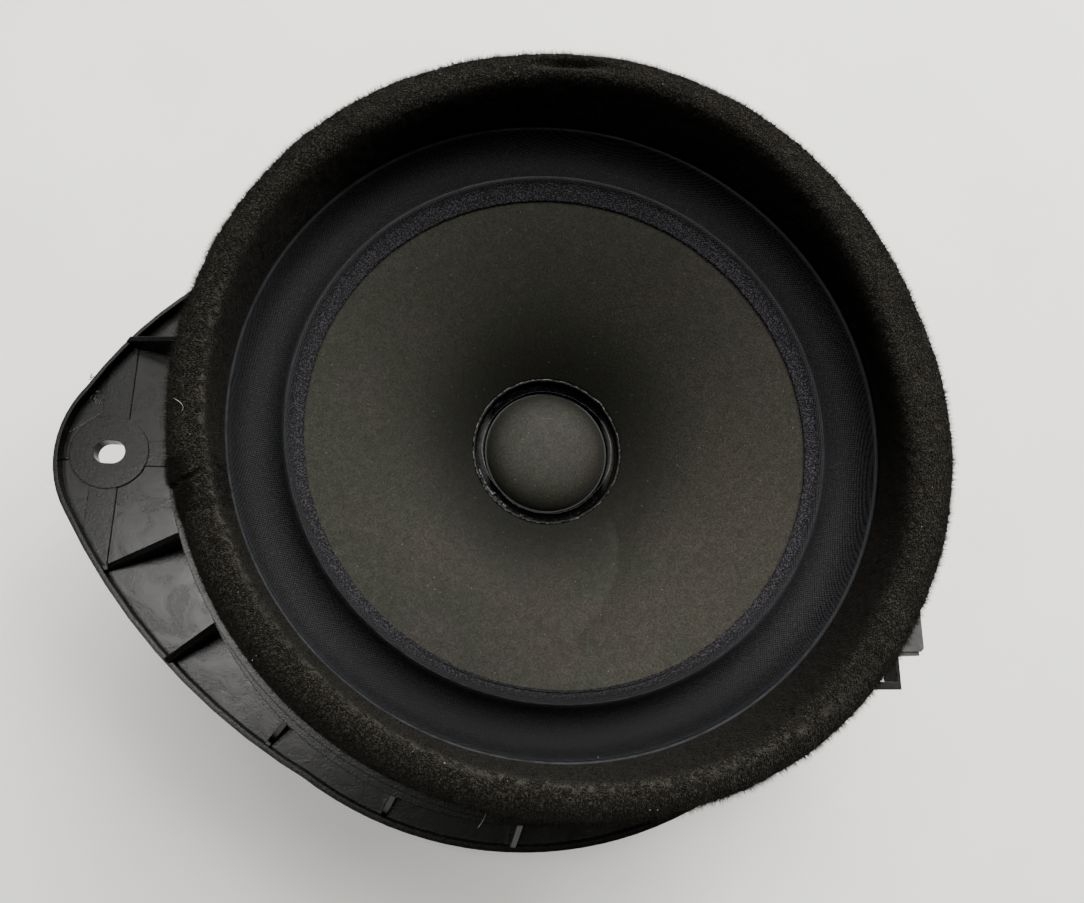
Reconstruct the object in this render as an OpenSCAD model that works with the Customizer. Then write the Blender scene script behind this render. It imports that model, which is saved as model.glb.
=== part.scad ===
// Door loudspeaker with a moulded basket, one screw ear, two locating hooks and a foam front seal.
// The axis of the driver is +Z (towards the listener); z = 0 is the rear face of the yoke.

/* [Motor] */
// Radius of the yoke's rear disc
yoke_r = 36; // [34:0.5:37]
// Thickness of the yoke's rear disc
yoke_t = 5; // [4:0.5:6]
// Radius of the ferrite magnet
magnet_r = 40; // [38:0.5:42]
// Height of the ferrite magnet
magnet_h = 15; // [15:0.5:16]
// Radius of the front pole plate
plate_r = 36.5; // [35:0.5:37]
// Thickness of the front pole plate
plate_t = 5; // [4.5:0.5:5.5]
// Outer radius of the voice coil former
former_r = 15.3; // [15.2:0.1:15.4]

/* [Diaphragm] */
// Height of the surround's outer flange above the yoke's rear face
front_z = 68; // [68:0.5:69]
// Radius where the surround's roll begins at the cone
roll_in_r = 60; // [59.8:0.1:60.4]
// Radius where the surround's roll ends at the basket
roll_out_r = 71; // [70.8:0.1:71.2]
// Outer radius of the paper cone
cone_r = 59.3; // [59:0.1:59.5]
// Radius of the cone's front opening at the neck
neck_r = 18.5; // [18:0.1:18.6]
// Depth of the neck below the surround's flange
neck_depth = 29; // [28:0.5:29.5]

/* [Basket] */
// Outer radius of the basket's rim
rim_r = 82.5; // [82:0.1:83]
// Radius of the mounting flange around the driver
flange_r = 85.8; // [85.5:0.1:86]
// Thickness of the mounting flange
flange_t = 2.5; // [2:0.1:3]
// Number of spokes
spokes = 6; // [6:1:6]
// Width of one spoke
spoke_w = 15; // [12:0.5:17]

/* [Screw ear] */
// Screw position along X
screw_x = -97.2; // [-98:0.1:-96]
// Screw position along Y
screw_y = -7.8; // [-8.5:0.1:-7]
// Half width of the screw slot
slot_r = 2.5; // [2.2:0.1:2.8]
// Length of the screw slot from end to end
slot_len = 6.4; // [6:0.1:7]

/* [Foam seal] */
// Height of the foam seal
foam_h = 15; // [12:0.5:18]
// Inner radius of the foam seal at its foot
foam_in_r = 70.4; // [70:0.1:71]
// Outer radius of the foam seal at its foot
foam_out_r = 80.3; // [80:0.1:80.4]

/* [Hidden] */
fine = 128;

// Heights of the stack, from the rear
magnet_z = yoke_t;
plate_z = magnet_z + magnet_h;
seat_z = plate_z + plate_t;
seat_t = 3;
spider_z = seat_z + 7.6;
neck_z = front_z - neck_depth;

// Motor radii
pole_r = former_r - 1;
gap_r = former_r + 1.5;
magnet_bore_r = 19;
coil_z = plate_z + plate_t / 2 - 5.5;
coil_h = 11;
former_wall = 0.4;
former_top_z = neck_z - 2;
screw_ring_r = 30;
screw_count = 4;

// Basket levels
ledge_z = front_z - 3;
ledge_t = 2.4;
ledge_in_r = 71.5;
wall_t = 1.3;
floor_z = front_z - 17;
rim_top_z = front_z + 1;
skirt_t = 2.2;
spider_ring_r = 50;
spider_ring_in_r = 43.4;
seat_r = 41;
seat_hole_r = 21;

// Mounting flange outline: two overlapping discs, and an ear whose sides are long shallow arcs
low_shift = [-5.6, -9.3];
low_r = 80.1;
ear_tip = [-83.6, -8.4];
ear_tip_r = 24.2;
ear_low_angle = 212;
ear_high_angle = 143;
ear_low_join = 243;
ear_tuck = 0.6;
ear_high_end = [-81.6, 31.3];
ear_high_normal = 134;
ear_low_bulge = 6.6;
ear_high_bulge = 1.6;
edge_wall = 1.3;
edge_h = 3.2;
edge_lip = 0.5;
edge_step = 1.2;
moon_r = 73.2;
moon_top_z = rim_top_z - 1;
boss_r = 8;
boss_t = 0.6;
strip_w = 5.6;
strip_start = 0.3;
strip_end = 0.8;
strip_len = 30;
strip_t = 0.4;
rib_t = 1.1;
rib_rise = 13;
ear_rib_angles = [170, 199, 212.5, 228.5, 246, 263.5];
rib_pitch = 17.5;
far_ribs = [2, 11, 12, 13, 14];
flange_gap = [[50, -45], [110, 80]];
pocket_end = [45, -5];

// Connector under the flange and the two hooks beside it
plug_low = [64, -48.7, floor_z - 15];
plug_size = [24.1, 20.7, 15];
plug_wall = 1.7;
key_y = [3.5, 15.2];
plug_depth = 13;
hook_y = [-57.3, 49];
hook_w = 8.3;
hook_end_x = 80;
hook_drop = 3.4;

// Cone and surround; the share of the cone's rise that is straight, the rest being curved
straight_share = 0.65;
cone_t = 0.8;
cone_edge_z = front_z - 4.2;
cloth_t = 0.55;
roll_depth = 5.2;
cap_r = former_r - former_wall - 0.1;
cap_h = 4.6;
cap_t = 0.6;

lead_r = 0.8;
lead_sides = 8;
// Each lead leaves its glue dot square to the cone and reaches its blade along X
lead_angle = -33;
dot_spread = 9;
dot_r = 21.5;
dot_slope = atan((cone_z(dot_r + 0.1) - cone_z(dot_r - 0.1)) / 0.2);
dot_gap = 0.06;
dot_h = 1.1;
lead_gap = 0.15;
lead_leave = 6;
lead_reach = 14;
lead_sag = 2.5;
lead_steps = 18;
blade_y = [8.8, 14.8];
blade_x = plug_low.x - 3.4;
blade_z = plug_low.z + 7.5;
blade_w = 3.3;
blade_t = 1.3;

function arc(centre, r, a0, a1, n) =
    [for (i = [0:n]) let (a = a0 + (a1 - a0) * i / n) centre + r * [cos(a), sin(a)]];

// Arc from p to q that bulges to its left by the given height
function bulge_arc(p, q, height, n) =
    let (d = q - p, left = [-d.y, d.x] / norm(d))
    [for (i = [0:n]) let (t = i / n) p + d * t + left * height * 4 * t * (1 - t)];

function ear_points(inset) =
    let (
        low = ear_tip + (ear_tip_r - inset) * [cos(ear_low_angle), sin(ear_low_angle)],
        low_end = low_shift + (low_r - inset - ear_tuck) * [cos(ear_low_join), sin(ear_low_join)],
        high = ear_tip + (ear_tip_r - inset) * [cos(ear_high_angle), sin(ear_high_angle)],
        high_end = ear_high_end - inset * [cos(ear_high_normal), sin(ear_high_normal)]
    )
    concat(
        arc(ear_tip, ear_tip_r - inset, ear_high_angle, ear_low_angle, 12),
        bulge_arc(low, low_end, -ear_low_bulge, 10),
        [[-40, -30], [-40, 20]],
        bulge_arc(high_end, high, -ear_high_bulge, 6)
    );

module flange_outline(inset = 0) {
    circle(flange_r - inset, $fn = fine);
    translate(low_shift) circle(low_r - inset, $fn = fine);
    polygon(ear_points(inset));
}

module ring(r_in, r_out, z, h) {
    translate([0, 0, z]) difference() {
        cylinder(r = r_out, h = h, $fn = fine);
        translate([0, 0, -1]) cylinder(r = r_in, h = h + 2, $fn = fine);
    }
}

module turned(points) {
    rotate_extrude($fn = fine) polygon(points);
}

// A thin sheet that follows a path of [radius, height] points
function normal_at(path, i) =
    let (a = path[max(i - 1, 0)], b = path[min(i + 1, len(path) - 1)], d = b - a)
    [-d.y, d.x] / norm(d);
function sheet(path, t) = concat(
    [for (i = [0:len(path) - 1]) path[i] + normal_at(path, i) * t / 2],
    [for (i = [len(path) - 1:-1:0]) path[i] - normal_at(path, i) * t / 2]
);

// Front surface of the cone: steeper at the neck than at the edge
function cone_z(r) =
    let (t = (r - neck_r) / (cone_r - neck_r))
    neck_z + (cone_edge_z - neck_z) * (straight_share * t + (1 - straight_share) * (1 - (1 - t) * (1 - t)));

// ---- Basket ----

module rim_and_ledge() {
    turned([
        [ledge_in_r, floor_z], [ledge_in_r + skirt_t, floor_z], [ledge_in_r + skirt_t, ledge_z],
        [rim_r - wall_t, ledge_z], [rim_r - wall_t, floor_z], [rim_r, floor_z], [rim_r, rim_top_z],
        [rim_r - wall_t, rim_top_z], [rim_r - wall_t, ledge_z + ledge_t], [ledge_in_r, ledge_z + ledge_t]
    ]);
}

module pocket_ribs() {
    count = 24;
    for (i = [0:count - 1])
        rotate(i * 360 / count)
            translate([ledge_in_r + 1, -rib_t / 2, floor_z + 1])
                cube([rim_r - ledge_in_r - 2, rib_t, ledge_z - floor_z]);
}

// The flange stops short of the connector's side, where only the rim and the hooks are left
module flange_area(inset = 0) {
    difference() {
        flange_outline(inset);
        translate(flange_gap[0]) square(flange_gap[1] - flange_gap[0]);
    }
}

// The sunk floor between the rim and the flange's edge wall
module pocket_area() {
    intersection() {
        flange_outline(edge_wall);
        polygon([[-120, -120], [pocket_end.x, -120], [pocket_end.x, 0], [pocket_end.y, 0], [pocket_end.y, 120],
                 [-120, 120]]);
    }
}

module flange_plate() {
    translate([0, 0, floor_z]) linear_extrude(flange_t) difference() {
        flange_area();
        circle(rim_r - 1, $fn = fine);
    }
    for (step = [0, 1])
        translate([0, 0, floor_z]) linear_extrude(flange_t + edge_h - edge_step * (1 - step)) difference() {
            flange_area(edge_lip * step);
            pocket_area();
            circle(rim_r - 1, $fn = fine);
        }
    translate([0, 0, floor_z]) linear_extrude(moon_top_z - floor_z) difference() {
        translate(low_shift) circle(moon_r, $fn = fine);
        circle(rim_r - 1, $fn = fine);
    }
}

module ear_boss() {
    boss_z = floor_z + flange_t - 0.1;
    translate([screw_x, screw_y, boss_z]) cylinder(r = boss_r, h = boss_t + 0.1, $fn = fine);
    translate([screw_x, screw_y, floor_z - 0.6]) cylinder(r = boss_r, h = 0.7, $fn = fine);
    intersection() {
        translate([0, 0, boss_z]) linear_extrude(strip_t + 0.1) flange_outline(edge_wall / 2);
        translate([screw_x, screw_y, boss_z]) union() {
            translate([-boss_r - 8, -1.9, 0]) cube([16, 0.7, 4]);
            translate([0, -strip_w / 2, 0]) cube([-rim_r - screw_x + 2, strip_w, 4]);
            for (side = [-1, 1]) linear_extrude(4) polygon([
                [side * strip_start - strip_w / 2, 0], [side * strip_start + strip_w / 2, 0],
                [side * strip_end + strip_w / 2, side * strip_len], [side * strip_end - strip_w / 2, side * strip_len]
            ]);
        }
    }
}

module screw_slot() {
    half = slot_len / 2 - slot_r;
    translate([screw_x, screw_y, floor_z - 2]) {
        for (side = [-1, 1]) translate([side * half, 0, 0]) cylinder(r = slot_r, h = 8, $fn = 64);
        translate([-half, -slot_r, 0]) cube([2 * half, 2 * slot_r, 8]);
    }
}

// One rib: high at the rim, low at the edge wall
module flange_rib(angle) {
    far = 112;
    top = floor_z + flange_t + rib_rise;
    low = floor_z + flange_t + edge_h - 1.2;
    reach = flange_r + (angle < 160 || angle > 270 ? 1 : angle < 225 ? 14 : 4);
    rotate(angle) rotate([90, 0, 0]) translate([0, 0, -rib_t / 2]) linear_extrude(rib_t)
        polygon([[rim_r - 1, floor_z + 1], [far, floor_z + 1], [far, low], [reach, low], [rim_r - 1, top]]);
}

module flange_ribs() {
    intersection() {
        translate([0, 0, floor_z]) linear_extrude(flange_t + rib_rise + 1) flange_outline(edge_wall / 2);
        union() {
            for (a = ear_rib_angles) flange_rib(a);
            for (i = far_ribs) flange_rib(ear_rib_angles[5] + i * rib_pitch);
        }
    }
}

module spoke() {
    skin = [[72.6, floor_z + 3], [71.8, floor_z - 5], [52.8, spider_z - 4.5], [47, spider_z - 4.7],
            [46, spider_z - 2], [50.8, spider_z - 1.6], [69.3, floor_z - 3.8], [71.6, floor_z + 3]];
    web = [[72, floor_z + 2], [76.2, floor_z], [75.6, floor_z - 6], [55.6, seat_z + 1.6], [44, seat_z + 0.8],
           [46, spider_z - 3], [52, spider_z - 3], [70.4, floor_z - 4]];
    rotate([90, 0, 0]) {
        translate([0, 0, -spoke_w / 2]) linear_extrude(spoke_w) polygon(skin);
        for (side = [-spoke_w / 2, spoke_w / 2 - 1.8]) translate([0, 0, side]) linear_extrude(1.8) polygon(web);
    }
}

module motor_seat() {
    difference() {
        turned([
            [seat_hole_r, seat_z], [seat_r, seat_z], [47, seat_z + 3.5], [spider_ring_r, seat_z + 3.5],
            [spider_ring_r, spider_z], [spider_ring_in_r, spider_z], [spider_ring_in_r, seat_z + 6],
            [39.6, seat_z + seat_t], [seat_hole_r, seat_z + seat_t]
        ]);
        screw_places() translate([0, 0, seat_z - 1]) cylinder(r = 2.1, h = 6, $fn = 32);
    }
}

module screw_places() {
    for (i = [0:screw_count - 1])
        rotate(45 + i * 360 / screw_count) translate([screw_ring_r, 0, 0]) children();
}

// Locating hook: an arm that runs out beyond the flange, with a window and a toe
module hook(y) {
    arm_x = 62;
    difference() {
        translate([arm_x, y, floor_z - hook_drop]) cube([hook_end_x - arm_x, hook_w, hook_drop + flange_t]);
        translate([arm_x - 1, y - 1, floor_z - hook_drop - 1]) cube([11, hook_w + 2, hook_drop + 1]);
        translate([hook_end_x - 5.6, y + 1.8, floor_z - hook_drop - 1]) cube([4.7, hook_w - 3.6, 12]);
    }
}

module basket() {
    color("#232324") difference() {
        union() {
            rim_and_ledge();
            pocket_ribs();
            flange_plate();
            flange_ribs();
            ear_boss();
            for (y = hook_y) hook(y);
            for (i = [0:spokes - 1]) rotate(i * 360 / spokes) spoke();
            motor_seat();
        }
        screw_slot();
    }
}

// ---- Motor ----

module yoke() {
    color("#8d8f92") turned([
        [0, 0], [yoke_r - 0.8, 0], [yoke_r, 0.8], [yoke_r, yoke_t], [pole_r, yoke_t],
        [pole_r, seat_z - 0.4], [pole_r - 0.4, seat_z], [0, seat_z]
    ]);
}

module magnet() {
    bevel = 0.8;
    color("#3a3b3d") turned([
        [magnet_bore_r, magnet_z], [magnet_r - bevel, magnet_z], [magnet_r, magnet_z + bevel],
        [magnet_r, plate_z - bevel], [magnet_r - bevel, plate_z], [magnet_bore_r, plate_z]
    ]);
}

module top_plate() {
    bevel = 0.5;
    color("#8d8f92") difference() {
        turned([
            [gap_r, plate_z], [plate_r - bevel, plate_z], [plate_r, plate_z + bevel],
            [plate_r, seat_z - bevel], [plate_r - bevel, seat_z], [gap_r, seat_z]
        ]);
        screw_places() translate([0, 0, plate_z - 1]) cylinder(r = 2.05, h = plate_t + 2, $fn = 32);
    }
}

module shorting_ring() {
    color("#b9bcc0") ring(pole_r + 0.05, magnet_bore_r - 0.4, yoke_t + 0.02, 4.5);
}

module motor_screws() {
    color("#c9cbcd") screw_places() {
        translate([0, 0, plate_z + 1]) cylinder(r = 2, h = seat_z + seat_t - plate_z - 1 + 0.1, $fn = 32);
        difference() {
            translate([0, 0, seat_z + seat_t]) cylinder(r = 3.6, h = 1.3, $fn = 48);
            for (turn = [0, 90])
                rotate(turn) translate([-1.8, -0.35, seat_z + seat_t + 0.6]) cube([3.6, 0.7, 2]);
        }
    }
}

// ---- Moving assembly ----

module voice_coil_former() {
    color("#2a2a2c") ring(former_r - former_wall, former_r, coil_z, former_top_z - coil_z);
}

module voice_coil_winding() {
    color("#b5672e") ring(former_r + 0.02, former_r + 0.85, coil_z, coil_h);
}

module cone() {
    foot_r = former_r + 0.05;
    steps = 16;
    front = [for (i = [0:steps]) let (r = neck_r + (cone_r - neck_r) * i / steps) [r, cone_z(r)]];
    back = [for (i = [steps:-1:0]) let (r = neck_r + 0.8 + (cone_r - neck_r - 0.8) * i / steps) [r, cone_z(r) - cone_t]];
    color("#3c3c34") turned(concat(
        [[foot_r, neck_z - 4.2], [foot_r, neck_z - 3.3], [neck_r - 0.5, neck_z - 2.6], [neck_r, neck_z - 2]],
        front, back, [[neck_r + 0.7, neck_z - 2.6], [neck_r - 0.1, neck_z - 3.5]]
    ));
}

module neck_collar() {
    color("#151516") ring(neck_r - 0.65, neck_r - 0.03, neck_z - 1.98, 2.38);
}

module neck_glue_bead() {
    inner = former_r + 0.05;
    outer = neck_r - 0.7;
    color("#0e0e0f") turned([
        [inner, neck_z - 3.25], [outer, neck_z - 2.5], [outer, neck_z - 2.1], [inner + 1.05, neck_z - 1.9],
        [inner + 0.85, neck_z - 1.1], [inner + 0.5, neck_z - 0.85], [inner + 0.15, neck_z - 1.05], [inner, neck_z - 1.6]
    ]);
}

module dust_cap() {
    base_z = neck_z - 3.4;
    skirt = 1.2;
    steps = 12;
    path = concat(
        [[cap_r - cap_t / 2, base_z]],
        [for (i = [0:steps]) let (a = 90 * i / steps)
            [(cap_r - cap_t / 2) * pow(cos(a), 0.8), base_z + skirt + cap_h * sin(a)]]
    );
    color("#3c3c34") rotate_extrude($fn = fine) polygon(concat(
        [for (p = path) [max(p.x - cap_t / 2, 0), p.y - (p.x < cap_r - 1 ? cap_t / 2 : 0)]],
        [for (i = [len(path) - 1:-1:0]) let (p = path[i])
            [i == len(path) - 1 ? 0 : p.x + cap_t / 2, p.y + (p.x < cap_r - 1 ? cap_t / 2 : 0)]]
    ));
}

module spider() {
    cloth = 0.5;
    rolls = 5;
    in_r = former_r + 0.35;
    flat_r = 20;
    out_r = spider_ring_in_r - 0.4;
    mid_z = spider_z + 0.3;
    steps = 50;
    path = concat(
        [[in_r, mid_z - 1.6], [in_r + 0.3, mid_z - 0.5], [in_r + 1.2, mid_z]],
        [for (i = [0:steps]) let (t = i / steps) [flat_r + (out_r - flat_r) * t, mid_z + 1.1 * sin(360 * rolls * t)]],
        [[spider_ring_in_r + 0.4, mid_z], [spider_ring_r - 0.6, mid_z]]
    );
    color("#c7a46a") turned(sheet(path, cloth));
}

module surround() {
    roll_mid = (roll_in_r + roll_out_r) / 2;
    roll_half = (roll_out_r - roll_in_r) / 2;
    steps = 28;
    cuff = 3.8;
    flange_z = front_z - 0.3;
    lip_z = front_z - 3;
    lift = cloth_t / 2 + 0.1;
    path = concat(
        [[roll_in_r - cuff, cone_z(roll_in_r - cuff) + lift], [roll_in_r - 1.4, cone_z(roll_in_r - 1.4) + lift],
         [roll_in_r - 0.6, lip_z - 0.4], [roll_in_r, lip_z]],
        [for (i = [1:steps - 1]) let (a = 180 + 180 * i / steps, t = i / steps)
            [roll_mid + roll_half * cos(a), lip_z + (flange_z - lip_z) * t + roll_depth * sin(a)]],
        [[roll_out_r, flange_z - 0.4], [roll_out_r + 0.5, flange_z], [roll_out_r + 9.5, flange_z]]
    );
    color("#2b2c30") turned(sheet(path, cloth_t));
}

module lead_glue_dots() {
    color("#17130f") for (side = [-1, 1])
        rotate(lead_angle + side * dot_spread) translate([dot_r, 0, cone_z(dot_r) - cone_t])
            rotate([0, 180 - dot_slope, 0]) translate([0, 0, dot_gap]) cylinder(r1 = 1.9, r2 = 1.2, h = dot_h, $fn = 32);
}

// ---- Seal, connector and leads ----

module foam_gasket() {
    top = front_z + foam_h;
    foot = front_z + 0.02;
    lip = rim_top_z + 0.15;
    color("#2f2b27") turned([
        [foam_in_r + 0.9, foot], [foam_out_r - 0.2, foot], [foam_out_r, lip], [foam_out_r + 0.6, lip + 0.8],
        [foam_out_r + 0.5, top - 2.5], [foam_out_r - 1.2, top], [foam_in_r + 4, top], [foam_in_r + 2.4, top - 2.5],
        [foam_in_r + 0.9, foot + 3]
    ]);
}

module connector_housing() {
    low = plug_low;
    size = plug_size;
    corner = 0.8;
    color("#3b3c3e") difference() {
        union() {
            translate([0, 0, low.z]) linear_extrude(size.z - 0.02) polygon([
                [low.x, low.y + 4], [low.x + 6, low.y], [low.x + size.x - corner, low.y],
                [low.x + size.x, low.y + corner], [low.x + size.x, low.y + size.y], [low.x, low.y + size.y]
            ]);
            for (y = key_y) translate([low.x + 9, low.y + y, low.z - 1.2]) cube([size.x - 9, 2, 1.3]);
            translate([hook_end_x + 1, low.y - 0.9, low.z + 2])
                cube([low.x + size.x - hook_end_x - 2, 1, size.z - 2.6]);
        }
        translate([low.x + size.x - plug_depth, low.y + plug_wall, low.z + plug_wall])
            cube([plug_depth + 1, size.y - 2 * plug_wall, size.z - 2 * plug_wall]);
        translate([low.x + size.x - 7, low.y + size.y / 2 - 3.5, low.z - 1])
            cube([3.5, 7, plug_wall + 2]);
        for (y = blade_y)
            translate([low.x - 1, low.y + y - blade_w / 2 - 0.05, blade_z - blade_t / 2 - 0.05])
                cube([size.x - 2, blade_w + 0.1, blade_t + 0.1]);
    }
}

module connector_blades() {
    color("#c8c2a8") for (y = blade_y)
        translate([blade_x, plug_low.y + y - blade_w / 2, blade_z - blade_t / 2]) cube([24, blade_w, blade_t]);
}

function bezier(p, t) =
    pow(1 - t, 3) * p[0] + 3 * t * pow(1 - t, 2) * p[1] + 3 * t * t * (1 - t) * p[2] + pow(t, 3) * p[3];

function lead_controls(side) =
    let (
        a = lead_angle + side * dot_spread,
        out = [sin(dot_slope) * cos(a), sin(dot_slope) * sin(a), -cos(dot_slope)],
        dot = [dot_r * cos(a), dot_r * sin(a), cone_z(dot_r) - cone_t] + (dot_gap + dot_h + lead_gap) * out,
        tip = [blade_x - lead_gap, plug_low.y + blade_y[side > 0 ? 1 : 0], blade_z]
    )
    [dot, dot + lead_leave * out, tip - [lead_reach, 0, lead_sag], tip];

// Tube of eight sides swept along the lead's curve
module lead(side) {
    controls = lead_controls(side);
    route = [for (i = [0:lead_steps]) bezier(controls, i / lead_steps)];
    n = lead_steps;
    points = [for (i = [0:n], k = [0:lead_sides - 1])
        let (
            d = route[min(i + 1, n)] - route[max(i - 1, 0)],
            flat = [-d.y, d.x, 0] / norm([d.x, d.y]),
            up = cross(d / norm(d), flat),
            a = 360 * k / lead_sides
        )
        route[i] + lead_r * (flat * cos(a) + up * sin(a))];
    sides = [for (i = [0:n - 1], k = [0:lead_sides - 1]) let (m = (k + 1) % lead_sides)
        [i * lead_sides + k, i * lead_sides + m, (i + 1) * lead_sides + m, (i + 1) * lead_sides + k]];
    ends = [[for (k = [lead_sides - 1:-1:0]) k], [for (k = [0:lead_sides - 1]) n * lead_sides + k]];
    polyhedron(points, concat(sides, ends));
}
module lead_wire_positive() {
    color("#a8754a") lead(1);
}
module lead_wire_negative() {
    color("#a8754a") lead(-1);
}

basket();
yoke();
magnet();
top_plate();
motor_screws();
voice_coil_former();
voice_coil_winding();
spider();
cone();
dust_cap();
neck_collar();
neck_glue_bead();
surround();
foam_gasket();
connector_housing();
connector_blades();
lead_wire_positive();
lead_wire_negative();
lead_glue_dots();
shorting_ring();
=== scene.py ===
import math

import bpy
import numpy as np
from mathutils import Matrix, Vector


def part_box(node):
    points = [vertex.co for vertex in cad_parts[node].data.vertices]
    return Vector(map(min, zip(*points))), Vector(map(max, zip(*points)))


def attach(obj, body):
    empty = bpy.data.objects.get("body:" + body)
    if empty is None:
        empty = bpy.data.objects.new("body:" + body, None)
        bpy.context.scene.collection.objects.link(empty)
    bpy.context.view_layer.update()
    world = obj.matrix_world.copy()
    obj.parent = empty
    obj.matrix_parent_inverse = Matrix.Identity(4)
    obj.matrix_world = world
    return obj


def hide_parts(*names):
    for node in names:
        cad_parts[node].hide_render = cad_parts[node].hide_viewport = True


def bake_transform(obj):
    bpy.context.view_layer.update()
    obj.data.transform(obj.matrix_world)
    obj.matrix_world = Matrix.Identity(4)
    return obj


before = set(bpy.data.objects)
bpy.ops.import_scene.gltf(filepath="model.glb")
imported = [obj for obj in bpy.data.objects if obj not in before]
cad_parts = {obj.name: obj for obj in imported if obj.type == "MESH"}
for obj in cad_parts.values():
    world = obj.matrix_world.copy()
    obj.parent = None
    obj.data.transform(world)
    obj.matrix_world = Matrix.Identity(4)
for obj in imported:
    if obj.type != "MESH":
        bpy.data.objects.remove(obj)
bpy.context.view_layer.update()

FRAME = "frame_and_motor"
MOVING = "cone_and_coil"
MM = 0.001
TURN = 2 * math.pi


# ---- Places, in millimetres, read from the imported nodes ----

def box_mm(node):
    low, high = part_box(node)
    return low / MM, high / MM


CONE_LOW, CONE_HIGH = box_mm("cone")
NECK_Z = CONE_LOW.z + 4.2
EDGE_Z = CONE_HIGH.z
CONE_R = CONE_HIGH.x
NECK_R = 18.5
FRONT_Z = EDGE_Z + 4.2
POCKET_Z = FRONT_Z - 14.5
FOAM_LOW, FOAM_HIGH = box_mm("foam_gasket")
FOAM_MID = (FOAM_LOW + FOAM_HIGH) / 2
FOAM_R = (FOAM_HIGH.x - FOAM_LOW.x) / 2
CAP_LOW, CAP_HIGH = box_mm("dust_cap")
SPIDER_HIGH = box_mm("spider")[1]
COLLAR_LOW, COLLAR_HIGH = box_mm("neck_collar")
BEAD_LOW, BEAD_HIGH = box_mm("neck_glue_bead")
YOKE_LOW, YOKE_HIGH = box_mm("yoke")
MAGNET_LOW, MAGNET_HIGH = box_mm("magnet")


def cone_z(r):
    """Height of the cone's front face at a radius: steeper at the neck than at the edge."""
    t = (r - NECK_R) / (CONE_R - NECK_R)
    return NECK_Z + (EDGE_Z - NECK_Z) * (0.65 * t + 0.35 * (1 - (1 - t) ** 2))


# ---- Shapes as arrays of points ----

def smooth(t):
    t = np.clip(t, 0, 1)
    return t * t * (3 - 2 * t)


def bump_at(angle, centre, width):
    """1 at one angle, falling to 0 a width away on both sides, in degrees."""
    away = np.abs((angle - centre + 180) % 360 - 180)
    return smooth(1 - away / width)


def lattice(cell, seed):
    mixed = cell[..., 0] * 374761393 + cell[..., 1] * 668265263 + cell[..., 2] * 362437 + seed * 974711
    mixed &= 0xFFFFFFFF
    mixed = ((mixed ^ (mixed >> 13)) * 1274126177) & 0xFFFFFFFF
    return ((mixed ^ (mixed >> 16)) & 0xFFFF) / 32767.5 - 1


def noise_at(points, pitch, seed=0):
    """Smooth noise from -1 to 1 at points in space, with grains of the given pitch."""
    place = np.asarray(points, float) / pitch
    cell = np.floor(place).astype(np.int64)
    part = smooth(place - cell)
    total = 0
    for corner in np.ndindex(2, 2, 2):
        share = np.prod(np.where(np.array(corner) == 1, part, 1 - part), axis=-1)
        total = total + share * lattice(cell + np.array(corner), seed)
    return total


def rounded(path, rounds, closed):
    """Corners of a path cut again and again until they are round."""
    path = np.asarray(path, float)
    for _ in range(rounds):
        after = np.roll(path, -1, axis=0)
        near, far = path * 0.75 + after * 0.25, path * 0.25 + after * 0.75
        cut = np.stack([near, far], axis=1).reshape(-1, path.shape[1])
        path = cut if closed else np.concatenate([path[:1], cut[:-2], path[-1:]])
    return path


def even(path, step, closed):
    """A path with points at even steps along it."""
    path = np.asarray(path, float)
    if closed:
        path = np.concatenate([path, path[:1]])
    along = np.concatenate([[0], np.cumsum(np.linalg.norm(np.diff(path, axis=0), axis=1))])
    count = max(3, int(round(along[-1] / step)))
    wanted = np.linspace(0, along[-1], count + 1)
    if closed:
        wanted = wanted[:-1]
    return np.stack([np.interp(wanted, along, path[:, k]) for k in range(path.shape[1])], axis=-1)


def offset(path, distance):
    """An open [radius, height] path moved to its left."""
    along = np.gradient(path, axis=0)
    left = np.stack([-along[:, 1], along[:, 0]], axis=-1)
    return path + left / np.linalg.norm(left, axis=1, keepdims=True) * distance


def cloth_section(path, thickness, coarse):
    """Closed section of a cloth: its front path, and back path with fewer points."""
    front = offset(path, thickness / 2)
    back = offset(path, -thickness / 2)[::-1]
    keep = sorted(set(range(0, len(back), coarse)) | {len(back) - 1})
    return np.concatenate([front, back[keep]])


def outward(section):
    """Unit normals, out of a closed [radius, height] section."""
    along = np.roll(section, -1, axis=0) - np.roll(section, 1, axis=0)
    out = np.stack([along[:, 1], -along[:, 0]], axis=-1)
    x, y = section[:, 0], section[:, 1]
    turn = np.sum(x * np.roll(y, -1) - np.roll(x, -1) * y)
    return out / np.linalg.norm(out, axis=1, keepdims=True) * np.sign(turn)


def turned(section, degrees, centre=(0, 0)):
    """Section [..., radius and height] swept round the axis through centre."""
    a = np.radians(degrees)[:, None]
    r, z = section[..., 0], section[..., 1]
    return np.stack([centre[0] + r * np.cos(a), centre[1] + r * np.sin(a), z + 0 * a], axis=-1)


# ---- Meshes ----

def new_object(name, points_mm, faces, flat=False):
    mesh = bpy.data.meshes.new(name)
    mesh.from_pydata((np.asarray(points_mm) * MM).tolist(), [], faces)
    mesh.validate()
    mesh.polygons.foreach_set("use_smooth", [not flat] * len(mesh.polygons))
    mesh.update()
    piece = bpy.data.objects.new(name, mesh)
    bpy.context.scene.collection.objects.link(piece)
    return piece


def grid_faces(n, m, wrap_section=True):
    i, j = np.meshgrid(np.arange(n), np.arange(m if wrap_section else m - 1), indexing="ij")
    nexti, nextj = (i + 1) % n, (j + 1) % m
    corners = [i * m + j, nexti * m + j, nexti * m + nextj, i * m + nextj]
    return np.stack(corners, axis=-1).reshape(-1, 4)


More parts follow.
